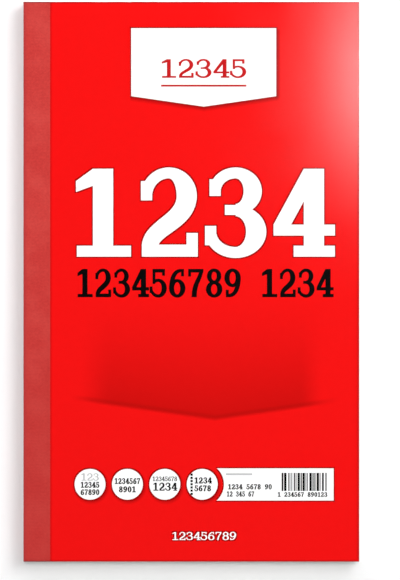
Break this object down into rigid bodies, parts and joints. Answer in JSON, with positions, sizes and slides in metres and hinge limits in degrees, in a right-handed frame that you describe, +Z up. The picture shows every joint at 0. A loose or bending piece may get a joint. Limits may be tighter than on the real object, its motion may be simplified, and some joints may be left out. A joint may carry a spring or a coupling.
{
  "type": "duplicate cash receipt book",
  "caption": "Stitched, cloth-taped duplicate receipt book with opening covers, an index sheet, leaves that turn, tear-off originals and a loose carbon sheet.",
  "frame": {"origin": "centre of the book's footprint, on the surface that it lies on", "axes": "+X from the spine to the fore-edge, +Y towards the head of the cover, +Z up out of the front cover"},
  "size_m": [0.126, 0.21, 0.0143],
  "materials": {
    "cover_board": "gloss",
    "spine_cloth": "matte",
    "original_paper": "matte",
    "duplicate_paper": "matte",
    "index_paper": "matte",
    "carbon_paper": "satin",
    "stitching_wire": "satin",
    "white_print": "satin",
    "black_print": "satin"
  },
  "bodies": {
    "binding": {"spine_tape": "spine_cloth", "head_stitch": "stitching_wire", "foot_stitch": "stitching_wire", "front_cover_bound_edge": "cover_board", "index_sheet_bound_edge": "index_paper", "original_1_bound_edge": "original_paper", "duplicate_1_bound_edge": "duplicate_paper", "original_2_bound_edge": "original_paper", "duplicate_2_bound_edge": "duplicate_paper", "sets_3_to_10_bound_edge": "original_paper", "back_cover_bound_edge": "cover_board", "original_11": "original_paper", "sets_11_to_20": "original_paper", "sets_21_to_30": "original_paper", "sets_31_to_40": "original_paper", "sets_41_to_50": "original_paper", "sets_51_to_60": "original_paper", "sets_61_to_70": "original_paper", "sets_71_to_80": "original_paper", "sets_81_to_90": "original_paper", "sets_91_to_100": "original_paper"},
    "front_cover": {"front_cover": "cover_board"},
    "index_sheet": {"index_sheet": "index_paper"},
    "original_1": {"original_1": "original_paper"},
    "duplicate_1": {"duplicate_1": "duplicate_paper"},
    "carbon_sheet": {"carbon_sheet": "carbon_paper"},
    "original_2": {"original_2": "original_paper"},
    "duplicate_2": {"duplicate_2": "duplicate_paper"},
    "sets_3_to_10": {"sets_3_to_10": "original_paper"},
    "back_cover": {"back_cover": "cover_board"}
  },
  "joints": [
    {"name": "front_cover_crease", "type": "hinge", "parent": "binding", "child": "front_cover", "pos_m": [-0.05285, 0, 0.01431], "axis": [0, -1, 0], "range_deg": [0, 179]},
    {"name": "index_sheet_crease", "type": "hinge", "parent": "binding", "child": "index_sheet", "pos_m": [-0.05285, 0, 0.01431], "axis": [0, -1, 0], "range_deg": [0, 179]},
    {"name": "original_1_crease", "type": "hinge", "parent": "binding", "child": "original_1", "pos_m": [-0.05285, 0, 0.01431], "axis": [0, -1, 0], "range_deg": [0, 179]},
    {"name": "duplicate_1_crease", "type": "hinge", "parent": "binding", "child": "duplicate_1", "pos_m": [-0.05285, 0, 0.01431], "axis": [0, -1, 0], "range_deg": [0, 179]},
    {"name": "original_2_crease", "type": "hinge", "parent": "binding", "child": "original_2", "pos_m": [-0.05285, 0, 0.01431], "axis": [0, -1, 0], "range_deg": [0, 179]},
    {"name": "duplicate_2_crease", "type": "hinge", "parent": "binding", "child": "duplicate_2", "pos_m": [-0.05285, 0, 0.01431], "axis": [0, -1, 0], "range_deg": [0, 179]},
    {"name": "sets_3_to_10_crease", "type": "hinge", "parent": "binding", "child": "sets_3_to_10", "pos_m": [-0.05285, 0, 0.01431], "axis": [0, -1, 0], "range_deg": [0, 179]},
    {"name": "carbon_sheet_slide", "type": "slide", "parent": "duplicate_1", "child": "carbon_sheet", "axis": [1, 0, 0], "range_m": [0, 0.112]},
    {"name": "back_cover_crease", "type": "hinge", "parent": "binding", "child": "back_cover", "pos_m": [-0.05285, 0, 0], "axis": [0, 1, 0], "range_deg": [0, 179]}
  ],
  "couplings": [
    {"joint": "index_sheet_crease", "follows": "front_cover_crease", "ratio": 0.985},
    {"joint": "original_1_crease", "follows": "front_cover_crease", "ratio": 0.97},
    {"joint": "duplicate_1_crease", "follows": "front_cover_crease", "ratio": 0.95},
    {"joint": "original_2_crease", "follows": "front_cover_crease", "ratio": 0.93},
    {"joint": "duplicate_2_crease", "follows": "front_cover_crease", "ratio": 0.91},
    {"joint": "sets_3_to_10_crease", "follows": "front_cover_crease", "ratio": 0.88}
  ]
}
